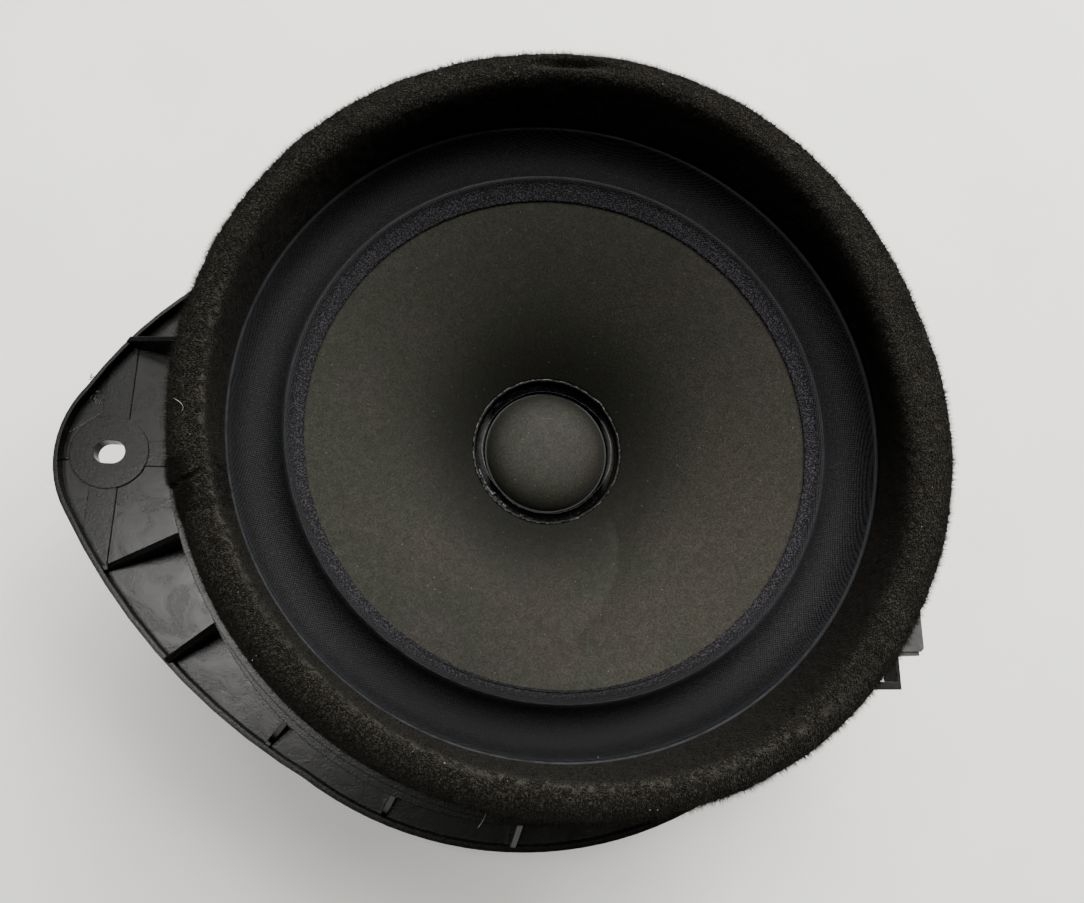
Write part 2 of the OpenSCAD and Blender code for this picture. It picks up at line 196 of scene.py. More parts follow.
def ring_object(name, points):
    """A closed ring from points[around, section, xyz]."""
    n, m = points.shape[:2]
    return facing_out(new_object(name, points.reshape(-1, 3), grid_faces(n, m).tolist()))


def dome_object(name, points, top, under):
    """A closed cap: its section runs from the top's middle over the edge to the middle underneath."""
    n, m = points.shape[:2]
    faces = grid_faces(n, m, wrap_section=False).tolist()
    first, last = n * m, n * m + 1
    for i in range(n):
        k = (i + 1) % n
        faces.append([first, k * m, i * m])
        faces.append([last, i * m + m - 1, k * m + m - 1])
    return facing_out(new_object(name, np.concatenate([points.reshape(-1, 3), [top, under]]), faces))


def facing_out(piece):
    """Turns a closed mesh's faces outward, judged by its signed volume."""
    mesh = piece.data
    mesh.calc_loop_triangles()
    place = np.zeros(len(mesh.vertices) * 3)
    mesh.vertices.foreach_get("co", place)
    corners = np.zeros(len(mesh.loop_triangles) * 3, np.int32)
    mesh.loop_triangles.foreach_get("vertices", corners)
    a, b, c = place.reshape(-1, 3)[corners.reshape(-1, 3)].transpose(1, 0, 2)
    if np.sum(a * np.cross(b, c)) < 0:
        mesh.flip_normals()
    return piece


def tube(route, radius, sides=8):
    """Points and faces of a closed tube on a route; radius is one number, or one for each point."""
    route = np.asarray(route, float)
    along = np.gradient(route, axis=0)
    along /= np.linalg.norm(along, axis=1, keepdims=True)
    side = np.cross(along[0], [0.3, 0.5, 0.8])
    rings = []
    wide = np.broadcast_to(radius, len(route))
    for place, ahead, r in zip(route, along, wide):
        side = side - ahead * np.dot(side, ahead)
        side /= np.linalg.norm(side)
        other = np.cross(ahead, side)
        turns = TURN * np.arange(sides)[:, None] / sides
        rings.append(place + r * (side * np.cos(turns) + other * np.sin(turns)))
    n = len(route)
    faces = [[i + k, i + (k + 1) % sides, i + sides + (k + 1) % sides, i + sides + k]
             for i in range(0, (n - 1) * sides, sides) for k in range(sides)]
    faces += [list(range(sides))[::-1], [(n - 1) * sides + k for k in range(sides)]]
    return np.concatenate(rings), faces


def joined(name, parts, flat=False):
    """One object from several lists of points and faces."""
    points, faces, start = [], [], 0
    for part, part_faces in parts:
        points.append(part)
        faces += [[start + i for i in face] for face in part_faces]
        start += len(part)
    return new_object(name, np.concatenate(points), faces, flat)


# ---- Materials ----

def material(name, **fixed):
    """A Principled material with constants on the shader's own sockets."""
    mat = bpy.data.materials.new(name)
    mat.use_nodes = True
    shader = mat.node_tree.nodes["Principled BSDF"]
    for socket, value in fixed.items():
        shader.inputs[socket.replace("_", " ")].default_value = value
    return mat, mat.node_tree, shader


def put(tree, socket, value):
    """Links an output to a socket, or sets the socket to a number or colour."""
    if isinstance(value, bpy.types.NodeSocket):
        tree.links.new(value, socket)
    elif value is not None:
        socket.default_value = value


def place_mm(tree, angle=0.0, squeeze=(1, 1, 1)):
    """Object coordinates in millimetres, turned by an angle in degrees and squeezed along each axis."""
    source = tree.nodes.new("ShaderNodeTexCoord")
    mapping = tree.nodes.new("ShaderNodeMapping")
    mapping.inputs["Rotation"].default_value = (0, 0, math.radians(angle))
    mapping.inputs["Scale"].default_value = [s / MM for s in squeeze]
    tree.links.new(source.outputs["Object"], mapping.inputs["Vector"])
    return mapping.outputs[0]


def grains(tree, place, pitch, detail=3.0, rough=0.55, twist=0.0):
    """Noise from 0 to 1 with grains of a pitch in millimetres."""
    made = tree.nodes.new("ShaderNodeTexNoise")
    put(tree, made.inputs["Vector"], place)
    made.inputs["Scale"].default_value = 1 / pitch
    made.inputs["Detail"].default_value = detail
    made.inputs["Roughness"].default_value = rough
    made.inputs["Distortion"].default_value = twist
    return made.outputs[0]


def cells(tree, place, pitch, feature="F1", which=0):
    made = tree.nodes.new("ShaderNodeTexVoronoi")
    made.feature = feature
    put(tree, made.inputs["Vector"], place)
    made.inputs["Scale"].default_value = 1 / pitch
    return made.outputs[which]


def calc(tree, operation, a, b=None):
    made = tree.nodes.new("ShaderNodeMath")
    made.operation = operation
    for socket, value in zip(made.inputs, (a, b)):
        put(tree, socket, value)
    return made.outputs[0]


def times(tree, a, b):
    return calc(tree, "MULTIPLY", a, b)


def plus(tree, a, b):
    return calc(tree, "ADD", a, b)


def minus(tree, a, b):
    return calc(tree, "SUBTRACT", a, b)


def ramp(tree, value, low, high, out_low=0.0, out_high=1.0):
    """A smooth step of a value from low to high."""
    made = tree.nodes.new("ShaderNodeMapRange")
    made.interpolation_type = "SMOOTHSTEP"
    put(tree, made.inputs[0], value)
    for socket, number in zip(made.inputs[1:5], (low, high, out_low, out_high)):
        socket.default_value = number
    return made.outputs[0]


def near(tree, value, centre, width):
    """1 where a value is at its centre, falling smoothly to 0 a width away."""
    away = calc(tree, "ABSOLUTE", minus(tree, value, centre))
    return ramp(tree, away, 0.0, width, 1.0, 0.0)


def blend_colours(tree, share, a, b):
    made = tree.nodes.new("ShaderNodeMix")
    made.data_type = "RGBA"
    put(tree, made.inputs[0], share)
    put(tree, made.inputs[6], a)
    put(tree, made.inputs[7], b)
    return made.outputs[2]


def scaled(tree, colour, factor):
    """A colour times a number."""
    made = tree.nodes.new("ShaderNodeVectorMath")
    made.operation = "SCALE"
    put(tree, made.inputs[0], colour)
    put(tree, made.inputs["Scale"], factor)
    return made.outputs[0]


def split(tree, place):
    made = tree.nodes.new("ShaderNodeSeparateXYZ")
    put(tree, made.inputs[0], place)
    return made.outputs


def radius_from(tree, place, centre=(0, 0)):
    """Distance from an upright axis, in millimetres."""
    x, y, _ = split(tree, place)
    x = minus(tree, x, centre[0])
    y = minus(tree, y, centre[1])
    return calc(tree, "SQRT", plus(tree, times(tree, x, x), times(tree, y, y)))


def relief(tree, shader, height, depth, edge=None):
    """Bump of a depth in millimetres, over edges rounded by a radius if one is given."""
    made = tree.nodes.new("ShaderNodeBump")
    made.inputs["Distance"].default_value = depth * MM
    put(tree, made.inputs["Height"], height)
    if edge:
        soft = tree.nodes.new("ShaderNodeBevel")
        soft.samples = 4
        soft.inputs["Radius"].default_value = edge * MM
        put(tree, made.inputs["Normal"], soft.outputs[0])
    put(tree, shader.inputs["Normal"], made.outputs[0])


def coat(tree, shader, colour, rough=None):
    """Sets the base colour, and the roughness if one is given."""
    put(tree, shader.inputs["Base Color"], colour)
    put(tree, shader.inputs["Roughness"], rough)


def grey(level, warm=0.0):
    """A dark or light grey; warm above 0 leans to brown and below 0 to blue."""
    return (level * (1 + warm), level, level * (1 - warm), 1)


def foam_material():
    """Open-cell foam: dark pores between olive grey struts, pale where its near crease has crumbled, and
    painted shade darkening its inner side.
    """
    mat, tree, shader = material("foam_open_cell", Roughness=1.0, Sheen_Weight=0.06, Sheen_Roughness=0.55,
                                 Specular_IOR_Level=0.04)
    shader.inputs["Sheen Tint"].default_value = (0.6, 0.58, 0.5, 1)
    place = place_mm(tree)
    strut = ramp(tree, cells(tree, place, 0.42, "DISTANCE_TO_EDGE"), 0.02, 0.34, 1.0, 0.0)
    grain = grains(tree, place, 0.45, 2, 0.7)
    cloud = grains(tree, place, 9.0, 3, 0.6)
    level = times(tree, plus(tree, strut, 0.5), ramp(tree, grain, 0.5, 0.64))
    olive = blend_colours(tree, level, (0.0012, 0.0011, 0.0009, 1), (0.026, 0.0238, 0.0188, 1))
    brown = blend_colours(tree, level, (0.0014, 0.0011, 0.0009, 1), (0.0285, 0.0235, 0.0192, 1))
    body = blend_colours(tree, ramp(tree, cloud, 0.42, 0.68, 0.0, 0.6), olive, brown)
    x, y, z = split(tree, place)
    high = ramp(tree, z, FOAM_HIGH.z - 3.0, FOAM_HIGH.z - 0.8)
    crease = near(tree, radius_from(tree, place, CREASE), CREASE[2], 1.5)
    crumbs = ramp(tree, grains(tree, place, 1.6, 4, 0.65, 0.6), 0.47, 0.62)
    side = ramp(tree, plus(tree, x, times(tree, y, 1.5)), 0.0, -70.0)
    dust = times(tree, times(tree, crease, crumbs), times(tree, side, high))
    body = blend_colours(tree, times(tree, dust, 0.7), body, (0.05, 0.047, 0.041, 1))
    # Painted shade: the seal's inner side goes darker below its top.
    painted_shade_inner_wall = times(tree, ramp(tree, radius_from(tree, place), 77.0, 74.0),
                ramp(tree, z, FOAM_HIGH.z - 1.2, FOAM_HIGH.z - 3.6, 0.0, 0.9))
    coat(tree, shader, blend_colours(tree, painted_shade_inner_wall, body, grey(0.0012)))
    relief(tree, shader, plus(tree, strut, grain), 0.4)
    return mat


def weave_height(tree, place, pitch):
    """Plain weave: threads along two directions, passing over and under each other."""
    x, y, _ = split(tree, place)
    u = calc(tree, "SINE", times(tree, x, TURN / pitch))
    v = calc(tree, "SINE", times(tree, y, TURN / pitch))
    lines = times(tree, plus(tree, times(tree, u, 0.8), v), 0.3)
    return plus(tree, lines, times(tree, times(tree, u, v), 0.4))


def surround_material():
    """Blue-black woven cloth, speckled cuff; painted highlight on lip and ridge, painted light to the
    right, painted shade at the near bottom.
    """
    mat, tree, shader = material("surround_weave", Roughness=0.62, Sheen_Weight=0.05,
                                 Sheen_Roughness=0.35, Specular_IOR_Level=0.08)
    shader.inputs["Sheen Tint"].default_value = (0.82, 0.88, 1.0, 1)
    place = place_mm(tree, 9)
    weave = weave_height(tree, place, 0.44)
    fleck = ramp(tree, grains(tree, place, 0.34, 3, 0.8), 0.46, 0.7)
    level = plus(tree, ramp(tree, weave, -0.5, 0.6, -0.12, 0.6), times(tree, fleck, 0.7))
    cloth = blend_colours(tree, level, (0.0004, 0.00045, 0.0006, 1), (0.0165, 0.0168, 0.018, 1))
    r = radius_from(tree, place_mm(tree))
    cuff = ramp(tree, r, 58.6, 59.3, 1.0, 0.0)
    spark = ramp(tree, grains(tree, place, 0.36, 2, 0.8), 0.5, 0.6)
    rough = blend_colours(tree, spark, (0.0018, 0.0017, 0.0021, 1), (0.0195, 0.0183, 0.021, 1))
    cloth = blend_colours(tree, cuff, cloth, rough)
    lip = near(tree, r, 60.0, 0.34)
    ridge = near(tree, r, 71.1, 0.34)
    # Painted highlight: the lip and outer ridge are lightened as if catching the light.
    painted_highlight = times(tree, calc(tree, "MAXIMUM", lip, ridge),
                ramp(tree, grains(tree, place, 3.0, 2), 0.25, 0.7, 0.35, 0.9))
    x, y, _ = split(tree, place_mm(tree))
    # Painted light and shade: paler towards the right, darker towards the near bottom.
    painted_light_and_shade = times(tree, ramp(tree, x, 0.0, 66.0, 1.35, 2.1), ramp(tree, y, -66.0, -40.0, 0.45, 1.0))
    cloth = scaled(tree, cloth, painted_light_and_shade)
    coat(tree, shader, blend_colours(tree, painted_highlight, cloth, (0.028, 0.029, 0.032, 1)))
    relief(tree, shader, plus(tree, weave, times(tree, fleck, 0.8)), 0.035)
    return mat


def paper_material(name, specular, rough):
    """Olive grey pulp paper, pinker to the right, with fibres and pale specks; painted shade round the
    neck and towards the bottom, painted light to the lower right and in the dust cap's middle.
    """
    mat, tree, shader = material(name, Specular_IOR_Level=specular, Sheen_Weight=0.03, Sheen_Roughness=0.5)
    place = place_mm(tree)
    x, y, _ = split(tree, place)
    toward = minus(tree, times(tree, x, 0.85), times(tree, y, 0.5))
    cloud = grains(tree, place, 15.0, 3, 0.6, 0.5)
    blotch = ramp(tree, plus(tree, cloud, times(tree, toward, 0.0022)), 0.4, 0.64)
    fibre = grains(tree, place, 0.34, 5, 0.8, 1.2)
    pulp = grains(tree, place, 1.9, 4, 0.7, 0.8)
    level = ramp(tree, fibre, 0.4, 0.6)
    green = blend_colours(tree, level, (0.0055, 0.0061, 0.0039, 1), (0.0245, 0.0252, 0.0178, 1))
    pink = blend_colours(tree, level, (0.007, 0.0064, 0.0048, 1), (0.0292, 0.0264, 0.0205, 1))
    body = blend_colours(tree, blotch, green, pink)
    body = blend_colours(tree, ramp(tree, pulp, 0.3, 0.7, 0.0, 0.35), body, (0.0078, 0.008, 0.0057, 1))
    r = radius_from(tree, place)
    # Painted shade: the paper darkens round the deep neck.
    neck = times(tree, ramp(tree, r, 17.2, 18.0), ramp(tree, r, 19.0, 39.0, 1.0, 0.0))
    # Painted light and shade: lighter towards the lower right, darker towards the bottom.
    right = minus(tree, ramp(tree, toward, 0.0, 55.0), ramp(tree, y, -20.0, -58.0, 0.0, 0.4))
    shade = minus(tree, plus(tree, 1.0, times(tree, right, 0.45)),
                 times(tree, neck, 0.66))
    # Painted highlight and shade on the dust cap: paler in its middle, darker towards its rim.
    dome = times(tree, ramp(tree, r, 17.0, 16.8), ramp(tree, r, 8.0, 15.6, 0.25, -0.3))
    seed = cells(tree, place, 1.6)
    lottery = split(tree, cells(tree, place, 1.6, which=1))[0]
    speck = times(tree, ramp(tree, seed, 0.04, 0.1, 1.0, 0.0), ramp(tree, lottery, 0.5, 0.95))
    body = scaled(tree, body, plus(tree, shade, dome))
    body = blend_colours(tree, speck, body, (0.09, 0.087, 0.075, 1))
    coat(tree, shader, body, ramp(tree, pulp, 0.2, 0.8, rough, rough + 0.2))
    relief(tree, shader, plus(tree, fibre, times(tree, pulp, 0.6)), 0.08)
    return mat


def collar_material():
    """Cut paper edge of the neck: near black as painted shade of the deep gap inside it, with a pale
    broken rim where the glue lifted the fibres.
    """
    mat, tree, shader = material("neck_edge", Specular_IOR_Level=0.15)
    place = place_mm(tree)
    z = split(tree, place)[2]
    rim = times(tree, ramp(tree, z, COLLAR_HIGH.z - 0.42, COLLAR_HIGH.z - 0.12),
               near(tree, radius_from(tree, place), COLLAR_HIGH.x - 0.05, 0.24))
    broken = ramp(tree, grains(tree, place, 0.9, 3, 0.6), 0.4, 0.58)
    pale = times(tree, rim, broken)
    rough = ramp(tree, grains(tree, place, 1.0), 0.3, 0.7, 0.45, 0.7)
    # The near-black body is painted shade for the gap inside the neck.
    coat(tree, shader, blend_colours(tree, pale, grey(0.002), grey(0.12, 0.03)), rough)
    relief(tree, shader, grains(tree, place, 0.4, 3), 0.1)
    return mat


def glue_material():
    """Smooth black rubber glue, with a pale painted reflection where it spreads widest at the left and
    right.
    """
    mat, tree, shader = material("neck_glue", Specular_IOR_Level=0.15)
    place = place_mm(tree)
    dull = ramp(tree, grains(tree, place, 1.1, 4, 0.6), 0.45, 0.75)
    x, _, z = split(tree, place)
    # Painted reflection: pale where the glue spreads widest at the left and right.
    film = times(tree, ramp(tree, calc(tree, "ABSOLUTE", x), 13.5, 15.6),
                ramp(tree, z, BEAD_HIGH.z - 1.4, BEAD_HIGH.z - 0.3))
    body = blend_colours(tree, times(tree, dull, 0.4), grey(0.0015), grey(0.006, 0.04))
    rough = plus(tree, times(tree, dull, 0.2), 0.22)
    coat(tree, shader, blend_colours(tree, film, body, grey(0.05)), rough)
    relief(tree, shader, grains(tree, place, 2.4, 2, 0.5), 0.08)
    return mat


def plastic_material():
    """Filled black moulding: cloudy gloss in the pockets, painted light on the pocket floors, darker
    bosses, strips and walls.
    """
    mat, tree, shader = material("basket_moulding", Specular_IOR_Level=0.15)
    place = place_mm(tree)
    z = split(tree, place)[2]
    cloud = grains(tree, place, 5.5, 4, 0.62, 0.9)
    fine = grains(tree, place, 0.5, 4, 0.6)
    scratch = grains(tree, place_mm(tree, 38, (0.25, 2.4, 1)), 1.0, 3, 0.6)
    pocket = near(tree, z, POCKET_Z, 0.35)
    # Painted light: the pocket floors are paler and the higher parts darker, over a cloudy mottle.
    light = times(tree, ramp(tree, cloud, 0.34, 0.66), plus(tree, times(tree, pocket, 0.85), 0.15))
    body = blend_colours(tree, light, (0.002, 0.002, 0.0019, 1), (0.0105, 0.0105, 0.0098, 1))
    wear = times(tree, ramp(tree, scratch, 0.62, 0.78), times(tree, pocket, 0.3))
    gloss = plus(tree, times(tree, light, -0.06), 0.24)
    rough = plus(tree, gloss, times(tree, fine, 0.08))
    coat(tree, shader, blend_colours(tree, wear, body, grey(0.045)), rough)
    relief(tree, shader, plus(tree, times(tree, cloud, 1.5), fine), 0.022, 0.28)
    return mat


def housing_material():
    """Connector moulding: a little lighter and glossier than the basket."""
    mat, tree, shader = material("housing_moulding", Specular_IOR_Level=0.35)
    place = place_mm(tree)
    cloud = grains(tree, place, 4.0, 4, 0.6, 0.6)
    body = blend_colours(tree, ramp(tree, cloud, 0.35, 0.7), grey(0.03), grey(0.055, 0.02))
    coat(tree, shader, body, ramp(tree, cloud, 0.3, 0.7, 0.42, 0.3))
    relief(tree, shader, grains(tree, place, 0.6, 3), 0.03, 0.3)
    return mat


def metal_material(name, colour, rough_low, rough_high, pitch, depth=0.02):
    """Bare or plated metal with a fine grain and darker clouds."""
    mat, tree, shader = material(name, Metallic=1.0)
    place = place_mm(tree)
    grain = grains(tree, place, pitch, 4, 0.6)
    cloud = grains(tree, place, 7.0, 4, 0.6, 0.7)
    dark = tuple(c * 0.55 for c in colour) + (1,)
    body = blend_colours(tree, ramp(tree, cloud, 0.35, 0.75), colour + (1,), dark)
    coat(tree, shader, body, ramp(tree, grain, 0.25, 0.75, rough_low, rough_high))
    relief(tree, shader, grain, depth, 0.25)
    return mat


def ferrite_material():
    """Sintered ferrite: dull dark grey with fine grain and ground marks."""
    mat, tree, shader = material("ferrite_sintered", Specular_IOR_Level=0.45)
    place = place_mm(tree)
    grain = grains(tree, place, 0.35, 5, 0.7)
    cloud = grains(tree, place, 6.0, 4, 0.6)
    chips = ramp(tree, grains(tree, place, 1.6, 4, 0.7), 0.62, 0.74)
    body = blend_colours(tree, ramp(tree, grain, 0.3, 0.7), grey(0.022), grey(0.052))
    body = blend_colours(tree, times(tree, chips, 0.5), body, grey(0.1))
    coat(tree, shader, body, ramp(tree, cloud, 0.3, 0.7, 0.5, 0.75))
    relief(tree, shader, plus(tree, grain, times(tree, chips, -0.8)), 0.08, 0.3)
    return mat


def spider_material():
    """Resin-treated woven cloth, tan and slightly shiny."""
    mat, tree, shader = material("spider_cloth", Roughness=0.7, Sheen_Weight=0.2, Sheen_Roughness=0.5)
    place = place_mm(tree, 20)
    weave = weave_height(tree, place, 0.8)
    cloud = grains(tree, place, 5.0, 3)
    thread = ramp(tree, weave, -0.7, 0.7)
    body = blend_colours(tree, thread, (0.2, 0.11, 0.035, 1), (0.46, 0.29, 0.115, 1))
    body = blend_colours(tree, ramp(tree, cloud, 0.4, 0.7, 0.0, 0.4), body, (0.24, 0.14, 0.05, 1))
    coat(tree, shader, body)
    relief(tree, shader, weave, 0.12)
    return mat


def coil_material(name, dark, bright, pitch, metallic):
    """Fine turns round the axis: wire on the winding, or black film wrapped on the former."""
    mat, tree, shader = material(name, Metallic=metallic, Roughness=0.35, Specular_IOR_Level=0.2)
    place = place_mm(tree)
    z = split(tree, place)[2]
    turns = calc(tree, "SINE", times(tree, z, TURN / pitch))
    cloud = grains(tree, place, 3.0)
    body = blend_colours(tree, ramp(tree, turns, -0.8, 0.8), dark, bright)
    body = blend_colours(tree, ramp(tree, cloud, 0.5, 0.8, 0.0, 0.4), body, dark)
    coat(tree, shader, body)
    relief(tree, shader, turns, 0.03)
    return mat


def braid_material():
    """Tinned copper braid: crossing strands with copper showing between them."""
    mat, tree, shader = material("lead_braid", Metallic=1.0, Roughness=0.38)
    place = place_mm(tree, 33)
    strands = weave_height(tree, place, 0.3)
    copper = ramp(tree, strands, -0.5, 0.6)
    body = blend_colours(tree, copper, (0.28, 0.12, 0.05, 1), (0.72, 0.5, 0.34, 1))
    tin = ramp(tree, grains(tree, place, 2.0), 0.45, 0.7, 0.0, 0.5)
    coat(tree, shader, blend_colours(tree, tin, body, (0.55, 0.52, 0.48, 1)))
    relief(tree, shader, strands, 0.06)
    return mat


def lint_material():
    """Pale cotton lint, a little uneven along its length."""
    mat, tree, shader = material("lint", Roughness=0.8, Specular_IOR_Level=0.2)
    cloud = ramp(tree, grains(tree, place_mm(tree), 0.8), 0.3, 0.7)
    coat(tree, shader, blend_colours(tree, cloud, (0.1, 0.095, 0.085, 1), (0.26, 0.25, 0.23, 1)))
    return mat


def residue_material():
    """Crusty remains of clear glue on the ear."""
    mat, tree, shader = material("residue", Specular_IOR_Level=0.7)
    cloud = grains(tree, place_mm(tree), 0.5, 4)
    body = blend_colours(tree, ramp(tree, cloud, 0.55, 0.64), grey(0.0015), grey(0.12))
    coat(tree, shader, body, ramp(tree, cloud, 0.3, 0.7, 0.15, 0.5))
    return mat


def dress(piece, mat):
    piece.data.materials.clear()
    piece.data.materials.append(mat)
    return piece


def dress_node(name, mat):
    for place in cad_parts[name].material_slots:
        place.material = mat


# ---- Foam seal ----

JOINT_AT = 195.0
CREASE = (4.0, 2.6, 77.0)   # middle and radius of the crumbled crease on the seal's near side


def foam_angles():
    """Even steps round the ring, with finer ones at the butt joint."""
    fine = JOINT_AT + np.linspace(-4, 4, 97)
    rest = np.linspace(0, 360, 861)[:-1]
    rest = rest[np.abs(rest - JOINT_AT) > 4.1]
    return np.sort(np.concatenate([fine, rest]))


def foam_section():
    foot, top, outer = FOAM_LOW.z, FOAM_HIGH.z, FOAM_R
    corners = [(outer - 9.7, foot), (outer - 0.8, foot), (outer - 0.6, foot + 1.13),
               (outer, foot + 1.93), (outer - 0.1, top - 2.5), (outer - 1.8, top),
               (outer - 6.6, top), (outer - 8.2, top - 2.5), (outer - 9.7, foot + 3)]
    return even(rounded(corners, 2, True), 0.46, True)


def foam_bends(angle):
    """How far the top of the seal leans out at its outer and at its inner edge, in millimetres."""
    lean = 1.4 * np.cos(np.radians(angle - 20))
    outer = (lean - 1.6 * bump_at(angle, 20, 32) + 0.85 * bump_at(angle, 72, 34)
             + 0.85 * bump_at(angle, 305, 42))
    inner = (-3.6 * bump_at(angle, 14, 44) + 1.6 * bump_at(angle, 78, 34) - 0.9 * bump_at(angle, 120, 26)
             - 1.1 * bump_at(angle, 205, 50) + 1.7 * bump_at(angle, 297, 34))
    return outer, inner


def torn(points, angle):
    """A small piece torn from the seal's top at the far side, and the crease round its near side."""
    r = np.hypot(points[..., 0], points[..., 1])
    top = smooth((points[..., 2] - FOAM_HIGH.z + 3) / 2)
    dent = bump_at(angle, 91, 9) * smooth(1 - np.abs(r - 76.6) / 1.7)
    off_line = np.hypot(points[..., 0] - CREASE[0], points[..., 1] - CREASE[1]) - CREASE[2]
    crease = smooth(1 - np.abs(off_line) / 1.3) * bump_at(angle, 232, 96)
    return top * (crease * (0.15 + 0.5 * noise_at(points, 1.9, 4)) - 1.9 * dent)


def foam_ring():
    """The seal is a strip bent into a ring, and its ends don't quite line up at the joint."""
    section = foam_section()
    angles = foam_angles()
    normals = outward(section)
    points = turned(section, angles, FOAM_MID)
    out = turned(np.stack([normals[:, 0], 0 * normals[:, 0]], axis=-1), angles)
    out[..., 2] = normals[:, 1]
    height = section[None, :, 1]
    across = smooth((section[None, :, 0] - (FOAM_R - 8)) / 7)
    free = smooth((height - FOAM_LOW.z - 1.0) / 1.5)
    a = angles[:, None]
    push = 0.12 * noise_at(points, 7.5, 1) + 0.1 * noise_at(points, 2.6, 2)
    push = push + 0.2 * noise_at(points, 0.8, 3) + torn(points, a)
    past = a - JOINT_AT + 0.2 * (FOAM_R - section[None, :, 0])
    notch = -1.6 * np.exp(-(past / 0.3) ** 2) * smooth((height - FOAM_HIGH.z + 8) / 4)
    points = points + out * ((push + notch * across) * free)[..., None]
    outer, inner = foam_bends(a)
    step = np.where(past < 0, 0.45 * smooth(1 + past / 30), -0.35 * smooth(1 - past / 20))
    shift = (outer + step) * across + inner * (1 - across)
    shift = shift * smooth((height - FOAM_LOW.z) / (FOAM_HIGH.z - FOAM_LOW.z)) * free
    away = np.stack([np.cos(np.radians(a)), np.sin(np.radians(a)), 0 * a], axis=-1)
    points = points + away * shift[..., None]
    return ring_object("foam_ring", points), points, out


def needles(name, root, ahead, length, wide, rng):
    """Short closed needles of three sides, one for each root point."""
    count = len(root)
    side = np.cross(ahead, rng.normal(0, 1, (count, 3)))
    side /= np.linalg.norm(side, axis=1, keepdims=True)
    other = np.cross(ahead, side)
    corners = [root + wide * (side * math.cos(t) + other * math.sin(t))
               for t in (0, TURN / 3, 2 * TURN / 3)]
    corners.append(root + ahead * length)
    start = np.arange(count)[:, None] * 4
    faces = np.concatenate([start + np.array(f) for f in ([0, 1, 3], [1, 2, 3], [2, 0, 3], [2, 1, 0])])
    return new_object(name, np.stack(corners, axis=1).reshape(-1, 3), faces.tolist(), flat=True)


def foam_hairs(name, points, out, chance, count, spread, lengths, widths, seed):
    """Cut ends of the foam's struts, more of them where the chance for a section point is higher."""
    rng = np.random.default_rng(seed)
    n, m = points.shape[:2]
    j = rng.choice(m, count, p=chance / chance.sum())
    i = rng.integers(0, n, count)
    lean = rng.normal(0, 1, (count, 3))
    ahead = out[i, j] + spread * lean / np.linalg.norm(lean, axis=1, keepdims=True)
    ahead /= np.linalg.norm(ahead, axis=1, keepdims=True)
    low, high = lengths
    length = low + (high - low) * rng.random((count, 1)) ** 2
    wide = rng.uniform(*widths, (count, 1))
    jitter = rng.uniform(-0.3, 0.3, (count, 3)) * np.array([1, 1, 0.6])
    return needles(name, points[i, j] + jitter - ahead * 0.3, ahead, length + 0.3, wide, rng)


def foam_fibres(points, out):
    """Granular strut ends all over the seal, and longer fuzz along its outer top edge."""
    height, lean = points[0, :, 2], out[0, :, 0]
    all_over = np.clip((height - FOAM_LOW.z - 1.5) / 3, 0, 1) * (1 + 0.9 * (lean > -0.2))
    granules = foam_hairs("foam_fibres", points, out, all_over, 44000, 0.8, (0.12, 0.7),
                          (0.04, 0.085), 11)
    edge = smooth((height - FOAM_HIGH.z + 6) / 3) * smooth((lean + 0.1) / 0.5)
    fuzz = foam_hairs("foam_fuzz", points, out, edge, 40000, 0.55, (0.5, 1.7), (0.028, 0.05), 12)
    return granules, fuzz


# ---- Surround, spider and leads ----

def flex(piece):
    """Bakes a piece's transform into its mesh."""
    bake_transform(piece)
    return piece


def surround_path():
    """Cuff on the cone, raised lip, sunk half roll, outer ridge and glued flange."""
    in_r, out_r, cuff = 60.0, 71.0, 3.8
    mid, half = (in_r + out_r) / 2, (out_r - in_r) / 2
    flange_z, lip_z = FRONT_Z - 0.3, FRONT_Z - 3
    lift = 0.22
    start = [(in_r - cuff, cone_z(in_r - cuff) + lift), (in_r - 1.4, cone_z(in_r - 1.4) + lift),
             (in_r - 0.6, lip_z - 0.4), (in_r, lip_z)]
    t = np.arange(1, 28) / 28
    roll = np.stack([mid - half * np.cos(math.pi * t),
                     lip_z + (flange_z - lip_z) * t - 5.2 * np.sin(math.pi * t)], axis=-1)
    end = [(out_r, flange_z - 0.35), (out_r + 0.35, flange_z + 0.08), (out_r + 1.2, flange_z),
           (out_r + 9.4, flange_z)]
    return np.concatenate([start, roll, end])


def surround_piece():
    path = even(rounded(surround_path(), 1, False), 0.42, False)
    visible = path[path[:, 0] < 74]
    flange = even(path[path[:, 0] >= 74], 1.6, False)
    section = cloth_section(np.concatenate([visible, flange]), 0.55, 3)
    angles = np.arange(960) * 360 / 960
    r = section[None, :, 0]
    teeth = np.abs((np.arange(960) * 0.25) % 1 - 0.5) * 2 - 0.5
    uneven = noise_at(turned(np.array([[56.0, 0.0]]), angles)[:, 0], 1.5, 5)
    shifted = 1.05 * np.sin(np.radians(angles))
    edge = (0.1 * teeth + 0.06 * uneven - shifted)[:, None] * smooth((58.0 - r) / 1.6)
    grown = np.stack([r + edge, section[None, :, 1] + 0.6 * edge], axis=-1)
    points = turned(grown, angles)
    wave = 0.05 * noise_at(points, 9.0, 6)
    points[..., 2] += wave * smooth((r - 57) / 3) * smooth((72 - r) / 3)
    piece = ring_object("surround_cloth", points)
    return flex(piece), path


